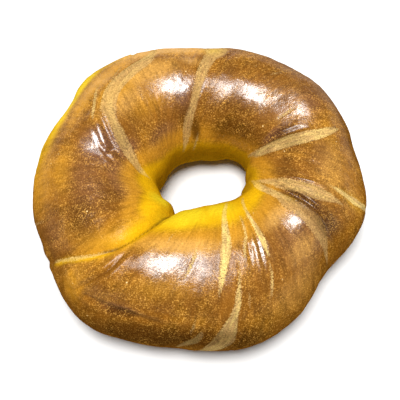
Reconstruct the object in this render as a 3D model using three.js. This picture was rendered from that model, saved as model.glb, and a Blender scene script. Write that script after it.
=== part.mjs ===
// A hand-rolled bagel: one rope of dough, twisted as it was rolled, bent into a ring and sealed
// where one end laps over the other, then boiled, glazed and baked. It baked as one piece, so it
// is one solid. Millimetres, +Z up: the ring lies flat on its base, with the origin on the
// surface that it rests on, under the middle of the ring's own box.

import * as THREE from "three";
import { mergeVertices } from "three/addons/utils/BufferGeometryUtils.js";

// Driving dimensions.
const RING_RADIUS = 35.5; // from the middle of the ring to the middle of the rope
const ROPE_RADIUS = 21.5; // half the width of an average rope section
const CROWN_HEIGHT = 41; // from the base to the top of an average section
const HEIGHT_FOLLOWS_WIDTH = 0.6; // a fatter section also stands taller, by this power
const EQUATOR_SHARE = 0.44; // how far up the crown height the rope is widest
const UNDERSIDE_DROP = 1.08; // the underside reaches past the base, which cuts it off flat
const UNDERSIDE_FULLNESS = 2.6; // 2 is an ellipse, and more is squarer
const RING_STEPS = 108;
const ROPE_STEPS = 42;

// The rope's sections, evenly spaced anticlockwise round the ring from +X, in millimetres. reach
// is how much further out the section's middle lies than RING_RADIUS, and fat how much wider the
// rope is there than ROPE_RADIUS, on each side.
const SECTIONS = [
  { reach: 1.0, fat: -1.0 }, // right
  { reach: 1.0, fat: -1.5 },
  { reach: 2.5, fat: -2.5 },
  { reach: 1.5, fat: -2.5 },
  { reach: -1.0, fat: -1.5 },
  { reach: -2.0, fat: -2.0 }, // back
  { reach: -1.5, fat: -1.0 },
  { reach: -0.5, fat: 0.0 },
  { reach: -1.0, fat: 0.0 },
  { reach: -1.5, fat: 0.0 },
  { reach: 0.5, fat: 0.0 }, // left
  { reach: 0.5, fat: 0.5 },
  { reach: 1.5, fat: 1.5 },
  { reach: 2.0, fat: 3.0 }, // the seam, which takes most of this fatness back
  { reach: 0.0, fat: 1.5 },
  { reach: -1.0, fat: 2.0 }, // front
  { reach: -0.5, fat: 2.5 },
  { reach: -1.5, fat: 1.0 },
  { reach: -2.5, fat: -1.5 },
  { reach: -0.5, fat: 0.0 },
];

// Valleys across the rope. Each is a line from the ring angle hole, on the wall of the hole, over
// crown to outer, on the outer wall. It is depth millimetres deep, and fades over before and after
// millimetres along the rope. The seam is the deepest: the rope's last end is a blunt nose that
// slopes down into it, and the first end rises steeply on its other side.
const VALLEYS = [
  { hole: 241, crown: 234, outer: 208, depth: 3.6, before: 6.5, after: 4.0 }, // the seam
  { hole: 24, crown: 16, outer: 7, depth: 1.2, before: 5.0, after: 6.0 },
  { hole: 341, crown: 336, outer: 329, depth: 1.8, before: 6.0, after: 4.0 },
];

const degrees = THREE.MathUtils.degToRad;

// One closed smooth line through the sections gives reach and fat at any ring angle.
const sectionLine = new THREE.CatmullRomCurve3(
  SECTIONS.map(({ reach, fat }) => new THREE.Vector3(reach, fat, 0)),
  true,
  "catmullrom",
  0.5,
);

function sectionAt(ringAngle) {
  const turn = THREE.MathUtils.euclideanModulo(ringAngle / (2 * Math.PI), 1);
  const { x: reach, y: fat } = sectionLine.getPoint(turn);
  const halfWidth = ROPE_RADIUS + fat;
  const crown = CROWN_HEIGHT * (halfWidth / ROPE_RADIUS) ** HEIGHT_FOLLOWS_WIDTH;
  return { middle: RING_RADIUS + reach, halfWidth, crown, equator: EQUATOR_SHARE * crown };
}

// How far the valleys press the surface in. A valley is full depth from the hole over the crown,
// shallower on the outer wall and gone at the base.
function valleyDepth(ringAngle, sectionAngle) {
  const outward = Math.cos(sectionAngle);
  const upward = Math.sin(sectionAngle);
  const fade = THREE.MathUtils.smoothstep(upward, -0.75, 0.45) * (1 - 0.45 * Math.max(outward, 0));
  let depth = 0;
  for (const valley of VALLEYS) {
    const slant = (valley.outer - valley.hole) / 2;
    const bow = (valley.outer + valley.hole) / 2 - valley.crown;
    const line = degrees(valley.crown + slant * outward + bow * outward ** 2);
    const turn = THREE.MathUtils.euclideanModulo(ringAngle - line + Math.PI, 2 * Math.PI) - Math.PI;
    const along = turn * RING_RADIUS;
    const fadeLength = along < 0 ? valley.before : valley.after;
    depth += valley.depth * fade * Math.exp(-((along / fadeLength) ** 2));
  }
  return depth;
}

function signedPower(value, power) {
  return Math.sign(value) * Math.abs(value) ** power;
}

// The surface point at an angle round the ring and an angle round the rope's section, which is 0
// on the outer wall, a quarter turn on the crown and a half turn in the hole.
function crustPoint(ringAngle, sectionAngle) {
  const { middle, halfWidth, crown, equator } = sectionAt(ringAngle);
  const across = Math.cos(sectionAngle);
  const up = Math.sin(sectionAngle);
  const offset = new THREE.Vector2(across * halfWidth, up * (crown - equator));
  if (up < 0) {
    const square = 2 / UNDERSIDE_FULLNESS;
    offset.set(
      signedPower(across, square) * halfWidth,
      signedPower(up, square) * equator * UNDERSIDE_DROP,
    );
  }
  offset.setLength(offset.length() - valleyDepth(ringAngle, sectionAngle));
  const reach = middle + offset.x;
  return new THREE.Vector3(
    reach * Math.cos(ringAngle),
    reach * Math.sin(ringAngle),
    Math.max(equator + offset.y, 0),
  );
}

// A torus gives the ring of quads, and each of its corners is moved to the dough's own surface.
function bagelGeometry() {
  const torus = new THREE.TorusGeometry(RING_RADIUS, ROPE_RADIUS, ROPE_STEPS, RING_STEPS);
  torus.deleteAttribute("normal");
  torus.deleteAttribute("uv");
  const geometry = mergeVertices(torus, 0.01);
  const position = geometry.getAttribute("position");
  const corner = new THREE.Vector3();
  for (let i = 0; i < position.count; i++) {
    corner.fromBufferAttribute(position, i);
    const ringAngle = Math.atan2(corner.y, corner.x);
    const sectionAngle = Math.atan2(corner.z, Math.hypot(corner.x, corner.y) - RING_RADIUS);
    const moved = crustPoint(ringAngle, sectionAngle);
    position.setXYZ(i, moved.x, moved.y, moved.z);
  }
  geometry.computeBoundingBox();
  const middle = geometry.boundingBox.getCenter(new THREE.Vector3());
  geometry.translate(-middle.x, -middle.y, -geometry.boundingBox.min.z);
  geometry.computeVertexNormals();
  return geometry;
}

const crust = new THREE.MeshStandardMaterial({ color: 0xa4682a, roughness: 0.38, metalness: 0 });

const bagel = new THREE.Mesh(bagelGeometry(), crust);
bagel.name = "bagel";

const part = new THREE.Group();
part.add(bagel);

export default part;
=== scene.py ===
# The looks of a hand-rolled bagel: a fine crust over its solid, with the seam, folds, stretch streaks,
# blisters and glaze of boiled and baked dough, on a pale floor in soft light.
#
# A place on the crust is given by two angles in degrees. The ring angle goes anticlockwise round the
# ring from +X. The section angle goes round the rope: 0 on the outer wall, 90 on the crown, 180 in the
# hole and 270 under the base.

import math

import bmesh
import bpy
import numpy as np
from bpy.props import FloatProperty, FloatVectorProperty, IntProperty, PointerProperty
from mathutils import Matrix, Vector, noise
from mathutils.bvhtree import BVHTree


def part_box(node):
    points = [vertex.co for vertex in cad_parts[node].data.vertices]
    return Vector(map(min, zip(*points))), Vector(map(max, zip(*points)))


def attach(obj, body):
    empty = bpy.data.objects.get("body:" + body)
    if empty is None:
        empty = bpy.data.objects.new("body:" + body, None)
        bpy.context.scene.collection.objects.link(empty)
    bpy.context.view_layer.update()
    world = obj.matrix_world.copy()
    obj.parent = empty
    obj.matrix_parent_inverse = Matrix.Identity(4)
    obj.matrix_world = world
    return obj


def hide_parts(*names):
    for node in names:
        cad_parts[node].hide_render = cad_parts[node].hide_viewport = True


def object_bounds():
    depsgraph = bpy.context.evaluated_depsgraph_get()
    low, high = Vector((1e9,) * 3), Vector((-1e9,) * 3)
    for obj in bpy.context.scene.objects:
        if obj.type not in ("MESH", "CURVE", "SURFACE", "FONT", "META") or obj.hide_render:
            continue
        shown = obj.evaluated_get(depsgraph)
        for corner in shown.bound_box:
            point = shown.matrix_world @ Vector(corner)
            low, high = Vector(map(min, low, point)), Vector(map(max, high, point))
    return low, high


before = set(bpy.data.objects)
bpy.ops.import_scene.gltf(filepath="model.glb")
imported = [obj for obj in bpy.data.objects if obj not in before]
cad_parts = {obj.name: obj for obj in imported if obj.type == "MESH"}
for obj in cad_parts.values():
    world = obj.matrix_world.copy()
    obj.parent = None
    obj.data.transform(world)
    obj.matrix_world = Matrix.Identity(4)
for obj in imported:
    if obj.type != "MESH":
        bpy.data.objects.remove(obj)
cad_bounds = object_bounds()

bl_info = {
    "name": "Hand-Rolled Bagel",
    "version": (1, 0, 0),
    "blender": (4, 5, 0),
    "location": "3D View > Sidebar > Bagel",
    "description": "Gives a bagel its crust, with a seam, folds, streaks, blisters and a glaze",
    "category": "Add Mesh",
}

NODE = "bagel"
MM = 0.001
ROPE_RADIUS = 21.5  # millimetres, half the width of an average rope section
RING_RADIUS = 35.5  # millimetres, to the middle of the rope
RING_MIDDLE = Vector((0.37, 2.52, 0.0))  # millimetres, the ring's own middle, a little off the box's
EQUATOR_SHARE = 0.44  # how far up the crown's height the rope is widest
CROWN_CROWDING = 0.3  # how much closer the crust's points lie on the crown, and sparser under the base
SAME_PLACE = 0.00001  # metres, the distance within which corners are merged

# The lumps of the dough's wave and of the smaller ripple on it, of its blisters, of the crinkled skin and
# of the streaky stretch along the outer skin, all in millimetres across.
WAVE_SIZE = 11.0
RIPPLE_SIZE = 4.3
BLISTER_SIZE = 1.3
CRINKLE_SIZE = 1.5
STRETCH_SIZE = 2.6

# The solid is softened over these parts of a full turn: its outline round the ring, then its facets
# round the ring and round the rope.
OUTLINE_PARTS = 60
RING_PARTS = 170
ROPE_PARTS = 70

# Streaks where the skin stretched as the dough rose. Each crosses the rope as a line of stations:
# section angle, ring angle and half width in millimetres. Before the line stands how pale the streak is.
STREAKS = (
    # the back
    (0.35, (
        (174, 116, 0.2), (166, 111.5, 0.7), (155, 107, 1.4), (140, 103, 1.6), (127, 97, 1.45),
        (115, 93, 1.6), (100, 90, 1.8), (85, 87, 2), (72, 85, 2.4), (62, 82.5, 3.6), (50, 83, 4.4),
        (38, 84, 4.2), (15, 85, 3), (-10, 84, 0.5),
    )),
    (0.5, ((176, 99, 0.2), (168, 96.5, 0.55), (160, 94, 0.5), (152, 92, 0.15))),
    (0.4, ((48, 118, 0.2), (30, 116, 0.9), (10, 113, 1.2), (-10, 111, 0.6), (-20, 110, 0.1))),
    (0.3, ((42, 62, 0.2), (25, 60, 0.6), (5, 59, 0.9), (-12, 59, 0.2))),
    # the right
    (0.6, (
        (168, 30, 0.15), (156, 25.5, 0.6), (147, 19.5, 1.1), (140, 16.5, 1.3), (125, 14.5, 1.9),
        (110, 13.3, 2.1), (95, 13.0, 2.2), (80, 13.2, 1.9), (65, 14.5, 1.4), (57, 15.5, 0.8),
        (50, 16.5, 0.2),
    )),
    (0.6, ((112, 31.2, 0.1), (106, 31.2, 0.3), (97, 31.2, 0.35), (92, 31, 0.1))),
    (0.5, ((78, 53.5, 0.1), (72, 52.3, 0.35), (66, 51, 0.1))),
    (0.35, ((35, 35, 0.1), (20, 33, 0.5), (0, 31, 0.7), (-15, 30, 0.1))),
    (0.42, (
        (146, 346, 0.15), (136, 344.5, 0.5), (125, 343, 0.9), (112, 341.3, 1.7), (96, 341, 2.1),
        (80, 341, 2.2), (66, 341.2, 1.6), (56, 341.8, 0.6), (50, 342, 0.1),
    )),
    (0.75, (
        (72, 346.6, 0.1), (62, 346.4, 0.6), (50, 346, 0.8), (38, 346.2, 1.3), (25, 347, 1),
        (12, 348.5, 0.8), (0, 350.5, 0.6), (-10, 352, 0.15),
    )),
    (0.5, (
        (150, 348.5, 0.2), (143, 343.5, 0.6), (135, 339.5, 0.9), (125, 336, 1.1),
        (115, 333.6, 1.25), (105, 332, 1.35), (96, 331.2, 1.2), (88, 330, 0.8), (80, 329.5, 0.2),
    )),
    (0.25, (
        (104, 330, 0.3), (94, 328.8, 1.9), (80, 328.3, 2.8), (66, 327.8, 3.2), (54, 327.2, 3.1),
        (42, 326.4, 2.2), (30, 325.4, 1.3), (18, 324.5, 0.6), (6, 323.5, 0.1),
    )),
    # the left
    (0.42, (
        (152, 189, 0.3), (140, 184, 1.2), (130, 177, 1.6), (118, 170, 1.9), (107, 163.5, 2),
        (98, 158, 1.4), (90, 149.5, 1.9), (84, 140.5, 3), (78, 131, 3.1), (72, 122.5, 2.5),
        (64, 115, 1.9), (54, 111, 1.5), (45, 109.5, 1), (34, 108, 0.2),
    )),
    (0.5, ((83, 161, 0.15), (79, 156, 0.5), (74, 150, 0.6), (69, 145, 0.5), (65, 141, 0.15))),
    (0.4, ((73, 136, 0.1), (69, 132, 0.35), (64, 128, 0.1))),
    (0.35, ((30, 200, 0.1), (12, 197, 0.5), (-6, 195, 0.3), (-18, 194, 0.1))),
    # the pale lip in front of the seam
    (0.5, (
        (80, 231.2, 0.2), (72, 228.4, 0.45), (62, 225.2, 0.6), (50, 221.2, 0.6), (40, 218.2, 0.5),
        (30, 215.9, 0.4), (22, 214.2, 0.35), (14, 212.8, 0.3), (0, 211, 0.1),
    )),
    # the front
    (1, (
        (142, 303, 0.2), (136, 298.5, 0.5), (128, 293, 0.7), (118, 289, 0.95), (108, 286.8, 1.2),
        (98, 285, 1.45), (88, 283, 1.5), (78, 280.8, 1.35), (68, 279, 1), (60, 277.6, 0.45),
        (55, 277, 0.1),
    )),
    (0.6, (
        (79, 287.6, 0.1), (70, 286.7, 0.35), (62, 285.3, 0.5), (54, 284, 0.8), (46, 283, 1),
        (38, 281.3, 1.1), (32, 280, 1.8), (22, 278.8, 2.8), (10, 277.2, 3.4), (0, 275.2, 3.1),
        (-12, 272.5, 2.4), (-25, 270, 1),
    )),
    (0.5, ((53, 288.3, 0.1), (47, 287.6, 0.3), (41, 287, 0.1))),
    (0.85, (
        (139, 322, 0.15), (130, 314.5, 0.4), (120, 309, 0.5), (110, 306, 0.6), (100, 304.3, 0.85),
        (90, 303, 1.1), (82, 302, 1.1), (76, 301.3, 0.5), (72, 301, 0.1),
    )),
    (0.7, (
        (113, 300.5, 0.1), (105, 298.5, 0.35), (95, 296, 0.45), (86, 292.5, 0.45),
        (78, 290.5, 0.15),
    )),
    (0.55, ((68, 299.5, 0.1), (60, 299, 0.5), (52, 297.3, 0.6), (46, 296, 0.45), (40, 294.8, 0.1))),
    (0.6, ((24, 270.8, 0.2), (16, 269.5, 1.2), (6, 267, 1.6), (-4, 264.5, 1), (-14, 262, 0.2))),
    (0.9, ((92, 268.5, 0.1), (86, 267.6, 0.5), (80, 266.6, 0.4), (74, 265, 0.45), (66, 263, 0.1))),
    (0.5, ((38, 268.5, 0.1), (31, 268, 0.4), (25, 267.3, 0.4), (21, 267, 0.1))),
    (0.5, ((104, 253.3, 0.1), (100, 252.8, 0.22), (96, 252.3, 0.1))),
)
STREAK_DEPTH = 0.16  # millimetres

# The seam, as stations of section angle, ring angle and depth of its crack in millimetres.
SEAM = (
    (178, 243, 0.4), (165, 241.5, 1.0), (150, 240.2, 1.4), (138, 239.6, 1.5), (125, 239.2, 1.5),
    (112, 238, 1.5), (100, 236, 1.4), (90, 234, 1.4), (82, 231.6, 1.9), (76, 229.2, 1.9),
    (70, 227, 1.0), (62, 224, 0.6), (50, 220, 0.6), (40, 217, 0.7), (30, 215, 0.8), (20, 213, 0.8),
    (0, 209.5, 0.8), (-20, 206, 0.6), (-45, 203, 0.1),
)

# The swollen lips of the seam, each a distance from the crack, a half width and a height in millimetres.
SEAM_LIPS = ((1.9, 1.3, 0.35), (-3.4, 2.2, 0.45))

# Folds in the skin, each a half width in millimetres and a line of stations like the seam's.
FOLDS = (
    (0.7, (
        (92, 238, 0.1), (78, 236.8, 0.5), (63, 234.8, 1.2), (51, 231.4, 1.3), (42, 229.4, 1.2),
        (33, 227.2, 0.8), (24, 224.5, 0.1),
    )),
    (2.0, (
        (41, 235.5, 0), (38, 238, 0.8), (35, 242, 1.1), (32, 246, 1.0), (29, 250, 0.4),
        (27, 253, 0),
    )),
    (0.9, (
        (126, 183, 0.1), (114, 177, 0.5), (103, 169.5, 0.7), (94, 163, 0.7), (86, 157.5, 0.4),
        (78, 153, 0.1),
    )),
    (0.5, ((112, 185, 0.1), (104, 179.5, 0.3), (96, 173.5, 0.3), (88, 167.5, 0.2), (80, 162, 0.1))),
    (0.8, (
        (116, 339.5, 0.1), (104, 337, 0.6), (94, 336, 0.9), (80, 335, 1.0), (62, 333.6, 0.8),
        (45, 332, 0.6), (30, 331, 0.3), (18, 330, 0.1),
    )),
    (0.5, ((130, 345, 0.1), (112, 344.4, 0.4), (90, 344.2, 0.5), (70, 343.8, 0.5), (56, 343.5, 0.1))),
    (0.7, ((150, 27, 0.1), (130, 21.5, 0.5), (112, 19.6, 0.6), (96, 19, 0.4), (86, 18, 0.1))),
    (0.5, (
        (106, 302, 0.1), (96, 301, 0.3), (86, 299.6, 0.4), (76, 298, 0.4), (66, 297, 0.3),
        (58, 296, 0.1),
    )),
    (0.5, ((98, 298, 0.1), (90, 295.6, 0.3), (82, 293.6, 0.35), (74, 292.4, 0.1))),
    (0.6, (
        (46, 286.6, 0.1), (34, 285.6, 0.4), (18, 284.4, 0.6), (2, 283, 0.6), (-14, 281, 0.3),
        (-24, 280, 0.1),
    )),
    (0.6, ((36, 292, 0.1), (20, 291, 0.35), (0, 289.4, 0.45), (-16, 288, 0.1))),
    (0.6, ((78, 77, 0.1), (66, 76, 0.4), (54, 74.5, 0.4), (42, 73.5, 0.1))),
    (0.6, ((88, 96, 0.1), (76, 94.6, 0.4), (62, 93, 0.4), (48, 92.4, 0.1))),
    (0.6, ((64, 121, 0.1), (54, 119, 0.4), (40, 117.6, 0.4), (26, 117, 0.1))),
)
WIDE_FOLD = 1.5  # millimetres, the half width from which a fold is too open to hold shadow

# Ridges that the twist raised, each a half width in millimetres and stations whose third value is the height.
RIDGES = (
    (3.8, (
        (136, 185, 0), (122, 176, 0.5), (107, 166.5, 0.8), (98, 160, 0.9), (88, 151, 0.8),
        (78, 133, 0.4), (68, 119, 0.3), (58, 112, 0),
    )),
    (3.4, (
        (124, 192, 0), (112, 184, 0.4), (101, 175.5, 0.7), (91, 166, 0.7), (82, 159.5, 0.5),
        (72, 154, 0),
    )),
    (2.2, ((150, 24, 0), (130, 17, 0.5), (110, 14.5, 0.7), (90, 14, 0.7), (70, 15, 0.5), (52, 17, 0))),
    (2.0, ((128, 341, 0), (112, 341.5, 0.5), (95, 341, 0.7), (78, 341, 0.6), (62, 341.5, 0))),
    (6.0, (
        (120, 333, 0), (106, 332, 0.6), (94, 330, 1.6), (82, 329, 2.5), (70, 328, 2.9),
        (56, 326.5, 2.1), (40, 324.5, 0.9), (26, 323, 0),
    )),
)

# Swells and hollows of the dough: section angle, ring angle, radius and height, in millimetres.
SWELLS = (
    (10, 348, 9, 0.9), (20, 137, 8, 0.9), (20, 151, 7, -0.6), (10, 166, 7, 0.7), (10, 196, 8, 0.6),
    (15, 209, 5, -0.8), (-5, 263, 7, -0.8), (30, 10, 7, -0.5), (106, 176, 1.1, -1.2),
    (84, 300, 6, 0.4), (76, 249, 11, 1.1), (74, 273, 7, -0.5), (99, 98, 11, 1.7),
    (130, 104, 7, 0.4), (66, 36, 12, 1.9), (124, 54, 9, 0.35), (76, 328, 9, 0.8),
    (84, 146, 11, 1.9), (84, 164, 7, 1.3), (54, 236, 5, 0.8),
)

# Where the skin is crinkled: section angle, ring angle, reach across and along in degrees, height in
# millimetres.
WRINKLES = (
    (100, 177, 12, 7, 0.3),
    (82, 297, 16, 6, 0.35),
    (78, 314, 12, 6, 0.15),
    (14, 208, 20, 6, 0.4),
    (100, 338, 24, 5, 0.3),
    (92, 26, 12, 6, 0.3),
    (112, 158, 14, 10, 0.3),
    (66, 84, 14, 8, 0.25),
)

# Where the golden inner wall begins: the section angle at every 15 degrees round the ring.
GOLD_EDGE = (
    147, 159, 166, 172, 170, 166, 164, 165, 164, 163, 160, 152,
    142, 132, 133, 114, 106, 109, 112, 110, 110, 113, 119, 138,
)

# The section angles where the hole's wall turns under, and where its gold gives way to browned crust.
HOLE_FOOT = (206.0, 232.0)
FOOT_RIM = 226.0

# Soft patches of colour: section angle, ring angle, reach across and along the rope in degrees, strength.
PATCHES = {
    "gold": (
        (35, 150, 16, 28, 1.0), (16, 162, 14, 22, 0.55), (52, 84, 20, 7, 0.55),
        (42, 346, 22, 3, 0.4), (110, 286, 16, 4, 0.3), (95, 332, 12, 3, 0.4),
        (22, 176, 18, 10, 0.5), (9, 167, 18, 14, 1.0), (40, 128, 14, 14, 0.5),
    ),
    # Deep gold: painted shade low in the hole, darker than the gold above it.
    "deep": (
        (156, 350, 20, 34, 0.8), (156, 312, 18, 34, 0.9), (156, 20, 18, 20, 0.6),
        (156, 80, 14, 24, 0.7),
    ),
    "lemon": (
        (132, 258, 22, 24, 1.0), (135, 290, 20, 20, 0.8), (146, 222, 16, 14, 0.85),
        (34, 146, 13, 26, 0.75), (14, 165, 16, 16, 0.9), (56, 83, 12, 5, 0.4),
    ),
    "amber": (
        (35, 184, 30, 16, 0.65), (112, 130, 14, 22, 0.5), (102, 262, 12, 30, 0.6),
        (100, 318, 12, 16, 0.6), (85, 140, 13, 20, 0.8), (60, 142, 12, 28, 0.9),
        (16, 156, 30, 34, 0.8), (58, 96, 12, 14, 0.6), (60, 256, 12, 16, 0.45),
        (62, 186, 14, 14, 0.55), (36, 226, 22, 6, 0.6), (45, 355, 24, 14, 0.3),
        (92, 224, 16, 7, 0.4), (66, 12, 12, 12, 0.3),
    ),
    "tan": (
        (46, 106, 20, 24, 1.0), (84, 118, 20, 22, 0.55), (97, 140, 12, 18, 0.5),
        (66, 140, 14, 14, 0.4), (93, 262, 10, 26, 0.7), (92, 318, 9, 14, 0.6), (78, 95, 10, 8, 0.5),
        (68, 355, 20, 20, 0.35), (56, 316, 14, 12, 0.45), (32, 306, 22, 16, 0.35),
        (112, 30, 10, 6, 0.2), (40, 346, 20, 6, 0.3),
    ),
    # Dark: partly darker crust, partly painted shade in the dent at the front left, in the valley on the
    # right and on the steep inner wall at the back; low on the front wall the crust darkens towards the
    # bottom.
    "dark": (
        (146, 52, 20, 34, 0.75), (138, 28, 16, 12, 0.5), (72, 62, 14, 16, 0.35),
        (150, 95, 14, 8, 0.9), (130, 108, 16, 10, 0.5), (72, 210, 20, 14, 0.65),
        (98, 208, 16, 14, 0.5), (32, 243, 14, 12, 0.4), (33, 244, 6, 7, 1.0), (4, 252, 22, 26, 1.0),
        (6, 284, 26, 10, 0.8), (84, 335, 26, 5, 1.0), (58, 332, 30, 6, 0.9), (106, 12, 16, 12, 0.6),
        (112, 352, 18, 9, 0.4), (48, 262, 22, 24, 0.35), (125, 62, 18, 36, 0.5),
        (60, 45, 26, 26, 0.35), (20, 40, 24, 40, 0.5), (114, 20, 26, 8, 0.8),
        (14, 262, 18, 34, 1.0), (100, 82, 22, 4, 0.3), (84, 74, 16, 7, 0.5),
        (112, 170, 12, 12, 0.4), (112, 0, 10, 10, 0.5), (130, 15, 10, 8, 0.5),
        (30, 280, 16, 16, 0.35),
    ),
    # Rose brown: partly the crust's own purplish brown, partly a painted sheen of the glaze beside the
    # highlights.
    "rose_and_sheen": (
        (116, 196, 16, 22, 0.9), (28, 206, 26, 11, 0.5), (146, 140, 15, 32, 1.0),
        (122, 24, 20, 5, 1.0), (85, 335, 26, 6, 0.8), (84, 266, 12, 20, 0.6),
        (60, 320, 22, 18, 0.6), (72, 30, 13, 10, 0.5), (98, 174, 22, 14, 1.0),
        (120, 172, 14, 14, 0.9), (112, 104, 18, 8, 0.9), (76, 96, 12, 5, 0.5),
        (18, 312, 22, 22, 0.15), (60, 76, 14, 6, 0.6), (85, 196, 24, 22, 0.5), (36, 243, 8, 9, 0.6),
    ),
    # Where the brush left little glaze, and where it left the most.
    "matt": (
        (88, 222, 26, 12, 1.0), (86, 275, 18, 7, 0.4), (60, 232, 16, 8, 0.6), (72, 241, 14, 6, 0.6),
        (76, 284, 16, 4, 0.5),
    ),
    "glaze": (
        (100, 42, 24, 16, 1.0), (106, 56, 16, 18, 0.8), (82, 34, 16, 14, 1.0),
        (106, 104, 18, 15, 1.0), (90, 155, 11, 5, 1.0), (90, 171, 14, 7, 1.0),
        (75, 256, 16, 10, 0.72), (78, 268, 12, 8, 0.3), (78, 299, 14, 6, 0.9),
        (78, 316, 18, 11, 1.0), (78, 2, 12, 14, 0.6),
    ),
}

# How far the twist carries a line of the skin round the ring, at some section angles, in degrees.
TWIST = ((-90, -12), (0, -9), (45, -5), (90, 0), (125, 8), (150, 20), (180, 32), (270, 40))

# How much longer than wide the skin's grain and the streaks' grain are.
SKIN_STRETCH = 6.0
STREAK_STRETCH = 7.0

# The glaze, and how deep the fine grain goes in the crust and in the glaze over it, in metres.
GLAZE_ROUGHNESS = 0.29
GLAZE_IOR = 1.95
CRUST_GRAIN_DEPTH = 0.00016
GLAZE_GRAIN_DEPTH = 0.00009

# The stage, in metres. The key light's place is from the middle of the bagel, and the point that the
# camera aims at is from the middle of the resting face.
FLOOR_HALF_WIDTH = 3.0
KEY_PLACE = Vector((-0.04, -0.07, 0.9))
AIM = Vector((0.00045, -0.0027, 0.01757))


class BagelShape(bpy.types.PropertyGroup):
    ring_steps: IntProperty(
        name="Ring steps", description="Quads round the ring", default=500, min=60, max=500
    )
    rope_steps: IntProperty(
        name="Rope steps", description="Quads round the rope's section", default=196, min=24, max=196
    )
    relief: FloatProperty(
        name="Relief", description="Depth of the seam, folds and swells, as a share of the real one",
        default=1.0, min=0.0, max=2.0, subtype="FACTOR",
    )
    crack_width: FloatProperty(
        name="Crack width", description="Reach of each side of the seam's crack",
        default=0.0008, min=0.0002, max=0.003, unit="LENGTH",
    )
    waviness: FloatProperty(
        name="Waviness", description="Height of the soft unevenness of the risen dough",
        default=0.00035, min=0.0, max=0.002, unit="LENGTH",
    )
    blisters: FloatProperty(
        name="Blisters", description="Height of the small blisters that boiling raises",
        default=0.00007, min=0.0, max=0.0005, unit="LENGTH",
    )


def colour(name, description, default):
    return FloatVectorProperty(
        name=name, description=description, default=default, size=3, min=0.0, max=1.0, subtype="COLOR"
    )


class BagelColours(bpy.types.PropertyGroup):
    brown: colour("Brown", "The well-baked crust", (0.182, 0.068, 0.006))
    # Dark is the darkest crust, and it also stands for painted shade in hollows, valleys and creases.
    dark: colour("Dark", "The darkest baked crust", (0.058, 0.019, 0.002))
    # Rose brown is partly the crust's purplish brown over the folds and partly a painted sheen of the glaze
    # beside the highlights.
    rose_and_sheen: colour("Rose brown", "Thin skin over the folds", (0.135, 0.053, 0.022))
    amber: colour("Amber", "Lightly baked crust", (0.44, 0.200, 0.013))
    tan: colour("Tan", "Thin pale crust over the crown", (0.52, 0.275, 0.062))
    gold: colour("Gold", "Barely baked dough in the hole and along the seam", (0.60, 0.330, 0.004))
    # Deep gold is painted shade low in the hole.
    deep: colour("Deep gold", "The hole's lower wall", (0.370, 0.190, 0.003))
    lemon: colour("Lemon", "The palest dough, where the hole's edge catches no heat", (0.62, 0.450, 0.012))
    streak: colour("Streak", "Dull stretched skin", (0.350, 0.205, 0.080))
    pale_streak: colour("Pale streak", "Stretched skin where it is barely baked", (0.60, 0.440, 0.140))
    under: colour("Underside", "The flat underside, dull from the tray", (0.30, 0.140, 0.026))
    flake: colour("Flake", "The pale dough where a blister has flaked off", (0.80, 0.58, 0.26))
    speck: colour("Speck", "The lightest grains of the crust", (0.46, 0.245, 0.048))
    # Pore: a near-black colour painted as the shade inside the open pores.
    pore: colour("Pore", "Open pores in the streaks", (0.055, 0.028, 0.010))


class BagelStage(bpy.types.PropertyGroup):
    key: FloatProperty(name="Key light", description="Strength of the light overhead", default=6.3, min=0.0)
    key_size: FloatProperty(
        name="Key size", description="How wide the light overhead looks from the floor",
        default=math.radians(28), min=0.0, max=math.radians(90), subtype="ANGLE",
    )
    sky: FloatProperty(name="Sky", description="Strength of the light all round", default=0.17, min=0.0)
    floor: colour("Floor", "The pale floor", (0.62, 0.62, 0.615))
    camera_height: FloatProperty(
        name="Camera height", description="The camera's angle above the horizon",
        default=math.radians(65), min=0.0, max=math.radians(90), subtype="ANGLE",
    )
    camera_distance: FloatProperty(
        name="Camera distance", description="From the camera to what it aims at",
        default=0.327, min=0.1, unit="LENGTH",
    )
    lens: FloatProperty(
        name="Lens", description="The camera's focal length", default=85.0, min=20.0, unit="CAMERA"
    )


def smooth(value, low, high):
    """0 below low, 1 above high, and a smooth step between them."""
    share = np.clip((value - low) / (high - low), 0.0, 1.0)
    return share * share * (3.0 - 2.0 * share)


def bell(distance, reach):
    """1 at no distance, and falling away smoothly past the reach."""
    return np.exp(-((distance / reach) ** 2))


def blur(grid, steps, axis):
    """A soft average along one way round a grid that closes on itself."""
    reach = int(3 * steps)
    shifts = np.arange(-reach, reach + 1)
    weights = np.exp(-0.5 * (shifts / steps) ** 2)
    weights /= weights.sum()
    return sum(weight * np.roll(grid, shift, axis=axis) for shift, weight in zip(shifts, weights))


def turn_between(angle, place):
    """The signed turn from a place to an angle, in degrees."""
    return (angle - place + 180.0) % 360.0 - 180.0


def outward(angle):
    """The level way out from the ring's middle, at a ring angle in radians."""
    return Vector((math.cos(angle), math.sin(angle), 0.0))


def columns_of(stations):
    """A line of stations as arrays: all their first values, all their second, and so on."""
    return [np.array(column, float) for column in zip(*stations)]


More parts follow.
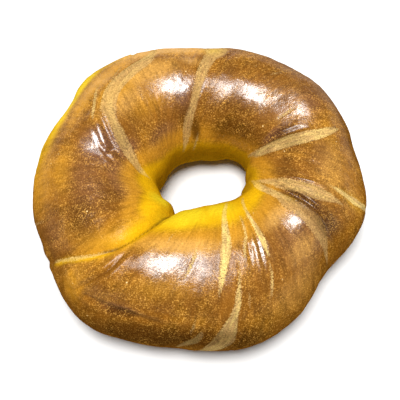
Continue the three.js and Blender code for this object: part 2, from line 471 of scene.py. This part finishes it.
class Rope:
    """The crust as a grid of points, with a row for each ring angle and a column for each section angle."""

    def __init__(self, shape):
        self.ring_count = shape.ring_steps
        self.section_count = shape.rope_steps
        self.ring = np.arange(self.ring_count) * 360.0 / self.ring_count
        even = np.arange(self.section_count) * 2.0 * np.pi / self.section_count
        self.section = np.degrees(even + CROWN_CROWDING * np.cos(even))
        self.ring_grid, self.section_grid = np.meshgrid(self.ring, self.section, indexing="ij")
        self.section_grid = turn_between(self.section_grid, 90.0) + 90.0  # from -90 to 270
        radius = RING_RADIUS + ROPE_RADIUS * np.cos(np.radians(self.section_grid))
        self.ring_mm = np.radians(radius)  # millimetres a degree of ring angle
        self.section_mm = math.radians(ROPE_RADIUS)  # millimetres a degree of section angle
        self.points = None

    def measure(self, solid):
        """The distance to the rope's middle, its half width and its crown's height, all round the ring."""
        lowest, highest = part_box(NODE)
        far = (highest - lowest).length
        centre = RING_MIDDLE * MM
        level = centre + Vector((0.0, 0.0, EQUATOR_SHARE * highest.z))
        middle = np.zeros(self.ring_count)
        half_width = np.zeros(self.ring_count)
        crown = np.zeros(self.ring_count)
        for row, angle in enumerate(np.radians(self.ring)):
            out = outward(angle)
            near = (solid.ray_cast(level, out)[0] - level).length
            away = (solid.ray_cast(level + out * far, -out)[0] - level).length
            middle[row] = (near + away) / 2
            half_width[row] = (away - near) / 2
            top = centre + out * middle[row] + Vector((0.0, 0.0, far))
            crown[row] = solid.ray_cast(top, Vector((0.0, 0.0, -1.0)))[0].z
        return [blur(line, self.ring_count / OUTLINE_PARTS, 0) for line in (middle, half_width, crown)]

    def cast(self, solid):
        """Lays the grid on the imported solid, along lines from the middle of each section."""
        middle, half_width, crown = self.measure(solid)
        equator = EQUATOR_SHARE * crown
        centre = RING_MIDDLE * MM
        reach = np.zeros((self.ring_count, self.section_count))
        starts = np.zeros((self.ring_count, 3))
        ways = np.zeros((self.ring_count, self.section_count, 3))
        for row, angle in enumerate(np.radians(self.ring)):
            out = outward(angle)
            start = centre + out * middle[row] + Vector((0.0, 0.0, equator[row]))
            starts[row] = start
            for column, turn in enumerate(np.radians(self.section)):
                rise = (crown[row] - equator[row]) * math.sin(turn)
                way = (out * (half_width[row] * math.cos(turn)) + Vector((0.0, 0.0, rise))).normalized()
                ways[row, column] = way
                reach[row, column] = solid.ray_cast(start, way)[3]
        # The solid's flat facets are smoothed away.
        reach = blur(reach, self.ring_count / RING_PARTS, 0)
        reach = blur(reach, self.section_count / ROPE_PARTS, 1)
        self.points = starts[:, None, :] + ways * reach[..., None]
        self.rest_on_floor()

    def rest_on_floor(self):
        self.points[..., 2] = np.maximum(self.points[..., 2], 0.0)

    def normals(self):
        round_ring = np.roll(self.points, -1, 0) - np.roll(self.points, 1, 0)
        round_rope = np.roll(self.points, -1, 1) - np.roll(self.points, 1, 1)
        across = np.cross(round_ring, round_rope)
        return across / np.maximum(np.linalg.norm(across, axis=2, keepdims=True), 1e-12)

    def raise_by(self, height):
        """Moves the crust outwards by a grid of heights in metres."""
        self.points += self.normals() * height[..., None]
        self.rest_on_floor()

    def line(self, stations):
        """For a line of stations across the rope, three grids: every point's signed distance from it along
        the ring, the stations' third value there, and how far the point lies past the line's ends, below
        zero between them. All are in millimetres."""
        sections, rings, values = columns_of(sorted(stations))
        ring_at = np.interp(self.section_grid, sections, rings)
        value = np.interp(self.section_grid, sections, values)
        between = (sections[1:] + sections[:-1]) / 2
        slope = np.interp(self.section_grid, between, np.diff(rings) / np.diff(sections))
        lean = slope * self.ring_mm / self.section_mm
        distance = turn_between(self.ring_grid, ring_at) * self.ring_mm / np.sqrt(1.0 + lean**2)
        past = np.maximum(sections[0] - self.section_grid, self.section_grid - sections[-1])
        return distance, value, past * self.section_mm

    def patch(self, section, ring, across, along):
        """A soft round patch, 1 in its middle."""
        ups = turn_between(self.section_grid, section) / across
        rounds = turn_between(self.ring_grid, ring) / along
        return np.exp(-1.4 * (ups**2 + rounds**2) ** 1.3)

    def skin_flow(self):
        """Places for a pattern drawn out along the twisted skin: millimetres round the ring, and a share of
        the millimetres round the rope."""
        sections, twists = columns_of(TWIST)
        untwisted = np.radians(self.ring_grid - np.interp(self.section_grid, sections, twists))
        along = self.section_grid * self.section_mm / SKIN_STRETCH
        return np.stack([RING_RADIUS * np.cos(untwisted), RING_RADIUS * np.sin(untwisted), along], axis=-1)


def crust_relief(rope, shape):
    """Heights in metres of the swells, the seam, the ridges, the folds and the streaks."""
    height = np.zeros_like(rope.ring_grid)
    for section, ring, radius, rise in SWELLS:
        across = radius / rope.section_mm
        along = radius / np.radians(RING_RADIUS + ROPE_RADIUS * math.cos(math.radians(section)))
        height += rise * rope.patch(section, ring, across, along)
    crack = shape.crack_width / MM
    distance, depth, past = rope.line(SEAM)
    there = smooth(-past, -1.0, 0.5)
    height -= depth * there * np.exp(-np.abs(distance) / crack)
    for away, half_width, rise in SEAM_LIPS:
        height += rise * there * bell(distance - away, half_width)
    for half_width, stations in RIDGES:
        distance, rise, past = rope.line(stations)
        height += rise * smooth(-past, 0.0, 2.0) * bell(distance, half_width)
    for half_width, stations in FOLDS:
        distance, depth, past = rope.line(stations)
        there = smooth(-past, -0.5, 0.5)
        height -= depth * there * bell(distance, half_width)
        # The skin that a fold draws in stands up along both of its sides.
        height += 0.45 * depth * there * bell(np.abs(distance) - 2.0 * half_width, half_width)
    for _, stations in STREAKS:
        distance, half_width, past = rope.line(stations)
        inside = smooth(half_width - np.abs(distance), -0.35, 0.35) * smooth(-past, -0.3, 0.3)
        height -= STREAK_DEPTH * inside
    return height * MM * shape.relief


def unevenness(rope, shape):
    """Heights in metres of the dough's soft waviness, of its blisters and of the crinkled skin."""
    places = rope.points.reshape(-1, 3) / MM
    flow = rope.skin_flow().reshape(-1, 3)
    wave = np.empty(len(places))
    blister = np.empty(len(places))
    wrinkle = np.empty(len(places))
    stretch = np.empty(len(places))
    for index, (place, along_skin) in enumerate(zip(places, flow)):
        spot = Vector(place)
        wave[index] = noise.noise(spot / WAVE_SIZE) + 0.4 * noise.noise(spot / RIPPLE_SIZE)
        blister[index] = noise.noise(spot / BLISTER_SIZE)
        wrinkle[index] = -abs(noise.noise(Vector(along_skin) / CRINKLE_SIZE))
        stretch[index] = noise.noise(Vector(along_skin) / STRETCH_SIZE)
    grid = rope.ring_grid.shape
    crinkled = np.zeros(grid)
    for section, ring, across, along, height in WRINKLES:
        crinkled = np.maximum(crinkled, height * rope.patch(section, ring, across, along))
    # The stretch is felt on the outer skin and the crown, and not on the hole's wall.
    drawn = 0.28 * (1.0 - smooth(rope.section_grid, 105.0, 150.0))
    wave = (wave.reshape(grid) + drawn * stretch.reshape(grid)) * shape.waviness
    blister = np.maximum(blister.reshape(grid) - 0.15, 0.0) * 2.0 * shape.blisters
    return wave + blister + (wrinkle.reshape(grid) + 0.2) * crinkled * MM * shape.relief


def streak_tones(rope):
    """Millimetres inside the edge of a streak, how pale the streak is, and places for its grain:
    millimetres across the streak, and a share of the millimetres along it."""
    streak = np.full_like(rope.ring_grid, -4.0)
    pallors = np.zeros_like(streak)
    fibre = np.zeros((*streak.shape, 3))
    along = rope.section_grid * rope.section_mm / STREAK_STRETCH
    for index, (pallor, stations) in enumerate(STREAKS):
        distance, half_width, past = rope.line(stations)
        inside = np.minimum(half_width - np.abs(distance), -past)
        nearest = inside > streak
        streak[nearest] = inside[nearest]
        pallors[nearest] = pallor
        # The third value keeps the grain of one streak apart from the next one's.
        fibre[nearest] = np.stack([distance, along, np.full_like(along, 9.0 * index)], axis=-1)[nearest]
    return {"streak": streak, "pallor": pallors, "fibre": fibre}


def baked_tones(rope):
    """How far the baking went: soft patches of colour, with painted shade among the dark and deep gold ones
    and a painted sheen among the rose ones, and the gold of the hole's sheltered wall.
    """
    section = rope.section_grid
    edge = np.interp(rope.ring_grid, np.arange(0, 361, 15), GOLD_EDGE + GOLD_EDGE[:1])
    above = section - edge
    hole_foot = 1.0 - smooth(section, *HOLE_FOOT)
    tones = {name: np.zeros_like(section) for name in PATCHES}
    tones["gold"] = smooth(above, -11.0, 12.0) * hole_foot
    tones["amber"] = 0.75 * bell(above + 9.0, 13.0) + 0.75 * bell(section - FOOT_RIM, 12.0)
    for name, patches in PATCHES.items():
        for middle, ring, across, along, strength in patches:
            tones[name] = np.maximum(tones[name], strength * rope.patch(middle, ring, across, along))
    # Painted shade: the gold darkens towards the hole's innermost wall.
    tones["deep"] = np.maximum(tones["deep"], 0.85 * smooth(section, 146.0, 182.0) * hole_foot)
    crown = smooth(section, 25.0, 62.0) * (1.0 - smooth(above, -24.0, 2.0))
    tones["glaze"] = crown * (0.28 + 0.72 * tones["glaze"]) * (1.0 - tones.pop("matt"))
    return tones


def turn_seam_golden(rope, tones):
    """Keeps the dough golden along the seam, on the hole's side most of all, and parts the glaze there."""
    section = rope.section_grid
    distance, _, past = rope.line(SEAM)
    behind = distance < 0
    band = np.where(behind, bell(distance, 4.2), bell(distance, 2.2))
    band *= smooth(section, 58.0, 108.0) * smooth(-past, -1.0, 1.0)
    halo = np.where(behind, bell(distance, 6.5), bell(distance, 3.5))
    halo *= 0.9 * smooth(section, 35.0, 75.0)
    lip = 0.7 * bell(distance - 1.2, 1.0) * smooth(section, 5.0, 35.0)
    lip *= 1.0 - smooth(section, 72.0, 84.0)
    tones["amber"] = np.maximum(tones["amber"], halo)
    tones["gold"] = np.maximum(tones["gold"], np.maximum(band, lip))
    tones["glaze"] *= 1.0 - smooth(-past, -0.5, 0.5) * bell(distance, 1.6)


def painted_shadow_in_creases(rope):
    """The painted shadow in the seam's crack and in the narrow folds."""
    distance, depth, past = rope.line(SEAM)
    crack = np.clip(depth, 0.0, 1.5) / 1.5 * np.exp(-np.abs(distance) / 0.45)
    crease_shadow = smooth(-past, -0.5, 0.5) * crack
    for half_width, stations in FOLDS:
        if half_width < WIDE_FOLD:
            distance, depth, past = rope.line(stations)
            crease_shadow = np.maximum(crease_shadow, 0.55 * depth * bell(distance, half_width) * (past < 0))
    return crease_shadow


def crust_tones(rope):
    """The grids that the crust's material reads, by attribute name."""
    tones = streak_tones(rope) | baked_tones(rope)
    turn_seam_golden(rope, tones)
    tones["crease_shadow"] = painted_shadow_in_creases(rope)
    tones["flow"] = rope.skin_flow()
    tones["under"] = smooth(-rope.points[..., 2], -0.006, -0.0005)
    return tones


def solid_tree():
    """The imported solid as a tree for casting, with its triangles' shared corners merged."""
    bm = bmesh.new()
    bm.from_mesh(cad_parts[NODE].data)
    bmesh.ops.remove_doubles(bm, verts=bm.verts, dist=SAME_PLACE)
    tree = BVHTree.FromBMesh(bm)
    bm.free()
    return tree


def ring_of_quads(rope):
    """A plain ring: a circle spun about the upright axis."""
    bm = bmesh.new()
    circle = bmesh.ops.create_circle(bm, segments=rope.section_count, radius=ROPE_RADIUS * MM)["verts"]
    bmesh.ops.rotate(bm, verts=circle, matrix=Matrix.Rotation(math.radians(90), 3, "X"))
    bmesh.ops.translate(bm, verts=circle, vec=(RING_RADIUS * MM, 0.0, 0.0))
    bmesh.ops.spin(
        bm, geom=bm.verts[:] + bm.edges[:], axis=(0.0, 0.0, 1.0), angle=math.tau,
        steps=rope.ring_count, use_merge=True,
    )
    bmesh.ops.remove_doubles(bm, verts=bm.verts, dist=SAME_PLACE)
    return bm


def grid_places(bm, rope):
    """Each corner's row and column in the rope's grid, read from its place on the plain ring."""
    corners = np.array([v.co for v in bm.verts]) / MM
    ring = np.degrees(np.arctan2(corners[:, 1], corners[:, 0])) % 360.0
    past_ring = np.hypot(corners[:, 0], corners[:, 1]) - RING_RADIUS
    section = np.degrees(np.arctan2(corners[:, 2], past_ring)) % 360.0
    rows = np.round(ring * rope.ring_count / 360.0).astype(int) % rope.ring_count
    columns = np.round(section * rope.section_count / 360.0).astype(int) % rope.section_count
    return rows, columns


def lay_out_map(mesh, rope, rows, columns):
    """A map with the ring's way round along it and the rope's way round up it."""
    corners = np.empty(len(mesh.loops), int)
    mesh.loops.foreach_get("vertex_index", corners)
    along = rows[corners].reshape(-1, 4) / rope.ring_count
    up = columns[corners].reshape(-1, 4) / rope.section_count
    # A quad that closes the ring or the rope ends at 1 instead of going back to 0.
    along += (along.max(axis=1, keepdims=True) - along > 0.5)
    up += (up.max(axis=1, keepdims=True) - up > 0.5)
    layer = mesh.uv_layers.new(name="rope")
    layer.data.foreach_set("uv", np.stack([along, up], axis=-1).astype(np.float32).ravel())


class BAGEL_OT_crust(bpy.types.Operator):
    """Model the bagel's crust over its solid"""

    bl_idname = "bagel.crust"
    bl_label = "Crust"

    def execute(self, context):
        shape = context.scene.bagel_shape
        rope = Rope(shape)
        rope.cast(solid_tree())
        rope.raise_by(crust_relief(rope, shape))
        rope.raise_by(unevenness(rope, shape))
        bm = ring_of_quads(rope)
        rows, columns = grid_places(bm, rope)
        if len(set(zip(rows, columns))) != rope.ring_count * rope.section_count:
            raise RuntimeError("the plain ring doesn't match the rope's grid")
        for vert, row, column in zip(bm.verts, rows, columns):
            vert.co = rope.points[row, column]
        bmesh.ops.recalc_face_normals(bm, faces=bm.faces)
        mesh = bpy.data.meshes.new("crust")
        bm.to_mesh(mesh)
        bm.free()
        for name, grid in crust_tones(rope).items():
            kind, field = ("FLOAT", "value") if grid.ndim == 2 else ("FLOAT_VECTOR", "vector")
            layer = mesh.attributes.new(name, kind, "POINT")
            layer.data.foreach_set(field, grid[rows, columns].astype(np.float32).ravel())
        lay_out_map(mesh, rope, rows, columns)
        mesh.polygons.foreach_set("use_smooth", [True] * len(mesh.polygons))
        mesh.materials.append(GlazedCrust(context.scene.bagel_colours).material)
        crust = bpy.data.objects.new("crust", mesh)
        context.scene.collection.objects.link(crust)
        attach(crust, "root")
        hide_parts(NODE)
        return {"FINISHED"}


class Nodes:
    """A material with short ways to add and join its nodes."""

    MIX_SHARE, MIX_FIRST, MIX_SECOND = 0, 6, 7  # the mix node's sockets for colours
    MIX_RESULT = 2

    def __init__(self, name):
        self.material = bpy.data.materials.new(name)
        self.material.use_nodes = True
        self.tree = self.material.node_tree
        self.tree.nodes.clear()

    def add(self, kind, *inputs, **settings):
        node = self.tree.nodes.new(kind)
        for key, value in settings.items():
            setattr(node, key, value)
        for socket, value in inputs:
            self.put(node.inputs[socket], value)
        return node

    def put(self, socket, value):
        """Links a socket to another, or sets its value."""
        if isinstance(value, bpy.types.NodeSocket):
            self.tree.links.new(value, socket)
        elif socket.type == "RGBA" and len(value) == 3:
            socket.default_value = (*value, 1.0)
        else:
            socket.default_value = value

    def attribute(self, name, output="Fac"):
        node = self.add("ShaderNodeAttribute", attribute_name=name, attribute_type="GEOMETRY")
        return node.outputs[output]

    def noise(self, size, detail=2.0, roughness=0.5):
        """Noise whose lumps are about size metres across."""
        place = self.add("ShaderNodeTexCoord").outputs["Object"]
        return self.add(
            "ShaderNodeTexNoise", ("Vector", place), ("Scale", 1.0 / size), ("Detail", detail),
            ("Roughness", roughness),
        ).outputs["Fac"]

    def drawn_noise(self, size, detail=2.0, along="flow"):
        """Noise drawn out along the twisted skin or a streak, about size millimetres across."""
        place = self.attribute(along, "Vector")
        return self.add(
            "ShaderNodeTexNoise", ("Vector", place), ("Scale", 1.0 / size), ("Detail", detail)
        ).outputs["Fac"]

    def dots(self, apart, size, share):
        """Small round dots about apart metres from each other, where share says how few there are."""
        place = self.add("ShaderNodeTexCoord").outputs["Object"]
        cells = self.add("ShaderNodeTexVoronoi", ("Vector", place), ("Scale", 1.0 / apart))
        few = self.add("ShaderNodeSeparateColor", ("Color", cells.outputs["Color"])).outputs["Red"]
        disc = self.step(cells.outputs["Distance"], size * 0.6, size, 1.0, 0.0)
        return self.times(disc, self.step(few, share, share + 0.1))

    def step(self, value, low, high, to_low=0.0, to_high=1.0):
        """A smooth step from to_low to to_high as value goes from low to high."""
        return self.add(
            "ShaderNodeMapRange", ("Value", value), ("From Min", low), ("From Max", high),
            ("To Min", to_low), ("To Max", to_high), interpolation_type="SMOOTHSTEP",
        ).outputs["Result"]

    def math(self, operation, *values):
        return self.add("ShaderNodeMath", *enumerate(values), operation=operation).outputs[0]

    def plus(self, total, *values):
        for value in values:
            total = self.math("ADD", total, value)
        return total

    def times(self, product, *values):
        for value in values:
            product = self.math("MULTIPLY", product, value)
        return product

    def swing(self, fac, reach):
        """A noise's values about its middle, times reach."""
        return self.times(self.math("SUBTRACT", fac, 0.5), reach)

    def mix(self, share, first, second, blend="MIX"):
        inputs = ((self.MIX_SHARE, share), (self.MIX_FIRST, first), (self.MIX_SECOND, second))
        node = self.add("ShaderNodeMix", *inputs, data_type="RGBA", blend_type=blend)
        return node.outputs[self.MIX_RESULT]

    def shaded(self, base, shade):
        """A colour made lighter or darker by shade, which is 0 where it stays as it is."""
        value = self.plus(1.0, shade)
        grey = self.add("ShaderNodeCombineColor", *enumerate((value, value, value)))
        return self.mix(1.0, base, grey.outputs["Color"], "MULTIPLY")

    def give_surface(self, *inputs):
        """Gives the material a surface with these inputs."""
        surface = self.add("ShaderNodeBsdfPrincipled", *inputs)
        self.add("ShaderNodeOutputMaterial", ("Surface", surface.outputs["BSDF"]))


class GlazedCrust(Nodes):
    """Glazed crust: grainy browns and golds under a glaze, with dull streaks and dark creases."""

    def __init__(self, colours):
        super().__init__("glazed_crust")
        self.colours = colours
        self.fine = self.noise(0.00043, 2.0, 0.6)
        self.grain = self.noise(0.0012, 3.0, 0.65)
        self.cloud = self.noise(0.008, 3.0, 0.6)
        self.drawn = self.drawn_noise(1.2, 3.0)
        self.broad = self.drawn_noise(5.0, 2.0)
        self.uneven = self.plus(
            self.swing(self.cloud, 0.5), self.swing(self.drawn, 0.6), self.swing(self.grain, 0.4),
            self.swing(self.broad, 0.7),
        )
        self.gold = self.tone("gold", 0.5)
        self.amber = self.tone("amber")
        self.tan = self.tone("tan")
        self.dark = self.tone("dark")
        self.fibre = self.drawn_noise(0.55, 3.0, "fibre")
        self.pore = self.dots(0.0012, 0.17, 0.66)
        wander = self.plus(self.swing(self.drawn_noise(1.4, 2.0, "fibre"), 1.1), self.swing(self.fine, 1.6))
        self.streak = self.step(self.plus(self.attribute("streak"), wander), -0.24, 0.4)

        crust = self.baked()
        crust = self.with_grain(crust)
        crust = self.with_streaks(crust)
        crust = self.with_shadowed_creases(crust)
        crust = self.with_underside(crust)
        self.glaze(crust)

    def tone(self, name, sway=0.55):
        """A soft tone of the crust, a little uneven and drawn out along the twisted skin."""
        mask = self.attribute(name)
        return self.step(self.plus(mask, self.times(mask, sway, self.uneven)), 0.0, 1.0)

    def baked(self):
        """The browns, ambers and golds of the baking, with painted shade in the dark and deep gold and a
        painted sheen in the rose brown.
        """
        colours = self.colours
        lighter = self.step(self.plus(self.cloud, self.swing(self.broad, 0.8)), 0.4, 0.85, 0.0, 0.3)
        darker = self.step(self.plus(self.cloud, self.swing(self.broad, -0.8)), 0.55, 0.2, 0.0, 0.25)
        crust = self.mix(lighter, colours.brown, colours.amber)
        crust = self.mix(darker, crust, colours.dark)
        # Rose brown, partly a painted sheen of the glaze.
        crust = self.mix(self.tone("rose_and_sheen"), crust, colours.rose_and_sheen)
        crust = self.mix(self.amber, crust, colours.amber)
        crust = self.mix(self.tan, crust, colours.tan)
        # Dark patches, partly painted shade in hollows and valleys.
        crust = self.mix(self.times(self.dark, 0.85), crust, colours.dark)
        crust = self.mix(self.gold, crust, self.mix(self.tone("lemon", 0.6), colours.gold, colours.lemon))
        # Deep gold, painted shade low in the hole.
        return self.mix(self.times(self.tone("deep", 0.3), self.gold), crust, colours.deep)

    def with_grain(self, crust):
        """Light flecks, dark ones and pale flakes all over, weaker on the smooth golden dough."""
        lightly_baked = self.times(self.math("MAXIMUM", self.amber, self.tan), 0.55)
        calm = self.step(self.math("MAXIMUM", self.gold, lightly_baked), 0.0, 0.9, 1.0, 0.1)
        region = self.plus(self.cloud, self.swing(self.broad, 0.6))

        light = self.step(self.plus(self.fine, self.swing(self.grain, 0.35)), 0.52, 0.68)
        light = self.times(light, calm, self.step(region, 0.3, 0.65, 0.2, 0.6))
        crust = self.mix(light, crust, self.colours.speck)

        shade = self.plus(self.swing(self.fine, 1.7), self.swing(self.grain, 0.7))
        shade = self.times(shade, self.step(region, 0.25, 0.7, 0.55, 1.3))
        shade = self.times(self.plus(shade, self.swing(self.drawn, 1.0)), calm)
        soft = self.plus(self.swing(self.fine, 0.6), self.swing(self.drawn, 0.25))
        crust = self.shaded(crust, self.plus(shade, self.times(soft, self.gold)))

        flaking = self.step(self.plus(self.cloud, self.swing(self.grain, 0.5)), 0.48, 0.62)
        flake = self.times(self.dots(0.0022, 0.15, 0.8), flaking, calm, 0.8)
        return self.mix(flake, crust, self.colours.flake)

    def with_streaks(self, crust):
        """Stretch streaks, with feathered edges, a grain of their own and open pores."""
        colours = self.colours
        fade = self.step(self.drawn_noise(0.9, 2.0, "fibre"), 0.35, 0.65, 0.3, 1.0)
        pale = self.math("MAXIMUM", self.gold, self.times(self.attribute("pallor"), fade))
        skin = self.mix(pale, colours.streak, colours.pale_streak)
        # The dark patches reach over the streaks too, painted shade in part.
        skin = self.mix(self.times(self.dark, 0.7), skin, colours.dark)
        shade = self.plus(self.swing(self.fine, 2.1), self.swing(self.fibre, 1.0))
        skin = self.shaded(skin, self.plus(shade, self.swing(self.grain, 0.8)))
        # Painted shade inside the pores.
        pored = self.times(self.pore, self.step(self.gold, 0.2, 1.0, 0.8, 0.15))
        skin = self.mix(pored, skin, colours.pore)
        cover = self.step(self.attribute("pallor"), 0.2, 0.8, 0.6, 0.95)
        cover = self.times(cover, self.step(self.gold, 0.3, 1.0, 1.0, 0.55))
        return self.mix(self.times(self.streak, cover), crust, skin)

    def with_shadowed_creases(self, crust):
        """Painted shadow darkens the creases."""
        return self.mix(self.step(self.attribute("crease_shadow"), 0.2, 0.9, 0.0, 0.75), crust, self.colours.dark)

    def with_underside(self, crust):
        """The underside is dull, with a soft mottle."""
        base = self.mix(self.step(self.cloud, 0.25, 0.75), self.colours.brown, self.colours.under)
        base = self.shaded(base, self.plus(self.swing(self.fine, 1.4), self.swing(self.grain, 1.2)))
        under = self.step(self.plus(self.attribute("under"), self.swing(self.grain, 0.5)), 0.0, 1.0)
        return self.mix(self.times(under, 0.95), crust, base)

    def glaze(self, crust):
        """The glaze was brushed on the crown, and the streaks opened after it."""
        glaze = self.times(self.attribute("glaze"), self.step(self.streak, 0.0, 1.0, 1.0, 0.1))
        speckle = self.plus(self.grain, self.swing(self.fine, 1.2))
        glaze = self.times(glaze, self.step(speckle, 0.25, 0.6, 0.6, 1.0))
        rough = self.plus(self.step(self.streak, 0.0, 1.0, 0.6, 0.8), self.swing(self.grain, 0.3))
        height = self.plus(self.times(self.fine, 0.6), self.grain)
        height = self.math("SUBTRACT", height, self.times(self.pore, self.streak, 0.8))
        height = self.plus(height, self.times(self.fibre, self.streak))
        crust_grain = self.add("ShaderNodeBump", ("Height", height), ("Distance", CRUST_GRAIN_DEPTH))
        glaze_grain = self.add("ShaderNodeBump", ("Height", height), ("Distance", GLAZE_GRAIN_DEPTH))
        self.give_surface(
            ("Base Color", crust), ("Roughness", rough), ("Normal", crust_grain.outputs["Normal"]),
            ("Specular IOR Level", 0.0), ("Coat Weight", glaze), ("Coat Roughness", GLAZE_ROUGHNESS),
            ("Coat IOR", GLAZE_IOR), ("Coat Normal", glaze_grain.outputs["Normal"]),
        )


def floor_material(floor_colour):
    """A plain matt floor."""
    nodes = Nodes("pale_floor")
    nodes.give_surface(("Base Color", floor_colour), ("Roughness", 0.9), ("IOR", 1.2))
    return nodes.material


def aim(thing, target):
    """Turns a camera or light to look at a point."""
    way = target - thing.location
    thing.rotation_euler = way.to_track_quat("-Z", "Y").to_euler()


def lay_floor(scene, height):
    """A plain pale floor for the bagel to rest on."""
    bm = bmesh.new()
    bmesh.ops.create_grid(bm, x_segments=1, y_segments=1, size=FLOOR_HALF_WIDTH)
    bmesh.ops.translate(bm, verts=bm.verts, vec=(0.0, 0.0, height))
    mesh = bpy.data.meshes.new("floor")
    bm.to_mesh(mesh)
    bm.free()
    mesh.materials.append(floor_material(scene.bagel_stage.floor))
    floor = bpy.data.objects.new("floor", mesh)
    scene.collection.objects.link(floor)


def hang_lights(scene, middle):
    """One wide light overhead, and a weak light all round."""
    sun = bpy.data.lights.new("overhead", "SUN")
    sun.energy = scene.bagel_stage.key
    sun.angle = scene.bagel_stage.key_size
    key = bpy.data.objects.new("overhead", sun)
    key.location = middle + KEY_PLACE
    aim(key, middle)
    scene.collection.objects.link(key)

    world = bpy.data.worlds.new("soft_room")
    world.use_nodes = True
    background = world.node_tree.nodes["Background"]
    background.inputs["Color"].default_value = (1.0, 1.0, 1.0, 1.0)
    background.inputs["Strength"].default_value = scene.bagel_stage.sky
    scene.world = world


def set_camera(scene, target):
    """The camera, looking down on the bagel from the front."""
    stage = scene.bagel_stage
    lens = bpy.data.cameras.new("camera")
    lens.lens = stage.lens
    camera = bpy.data.objects.new("camera", lens)
    back = Vector((0.0, -math.cos(stage.camera_height), math.sin(stage.camera_height)))
    camera.location = target + back * stage.camera_distance
    aim(camera, target)
    scene.collection.objects.link(camera)
    scene.camera = camera


class BAGEL_OT_stage(bpy.types.Operator):
    """Set the floor, lights and camera round the bagel"""

    bl_idname = "bagel.stage"
    bl_label = "Stage"

    def execute(self, context):
        scene = context.scene
        lowest, highest = (Vector(corner) for corner in cad_bounds)
        middle = (lowest + highest) / 2
        lay_floor(scene, lowest.z)
        hang_lights(scene, middle)
        set_camera(scene, Vector((middle.x, middle.y, lowest.z)) + AIM)
        scene.view_settings.view_transform = "Standard"
        return {"FINISHED"}


class BAGEL_PT_panel(bpy.types.Panel):
    """The bagel's pieces, with their sizes and colours"""

    bl_label = "Bagel"
    bl_idname = "BAGEL_PT_panel"
    bl_space_type = "VIEW_3D"
    bl_region_type = "UI"
    bl_category = "Bagel"

    def draw(self, context):
        for operator in (BAGEL_OT_crust, BAGEL_OT_stage):
            self.layout.operator(operator.bl_idname)
        for group in (context.scene.bagel_shape, context.scene.bagel_colours, context.scene.bagel_stage):
            box = self.layout.box()
            for name in group.__annotations__:
                box.prop(group, name)


GROUPS = {"bagel_shape": BagelShape, "bagel_colours": BagelColours, "bagel_stage": BagelStage}
CLASSES = (*GROUPS.values(), BAGEL_OT_crust, BAGEL_OT_stage, BAGEL_PT_panel)


def register():
    for cls in CLASSES:
        bpy.utils.register_class(cls)
    for name, group in GROUPS.items():
        setattr(bpy.types.Scene, name, PointerProperty(type=group))


def unregister():
    for name in GROUPS:
        delattr(bpy.types.Scene, name)
    for cls in reversed(CLASSES):
        bpy.utils.unregister_class(cls)


def main():
    register()
    bpy.ops.bagel.crust()
    bpy.ops.bagel.stage()


if __name__ == "__main__":
    main()
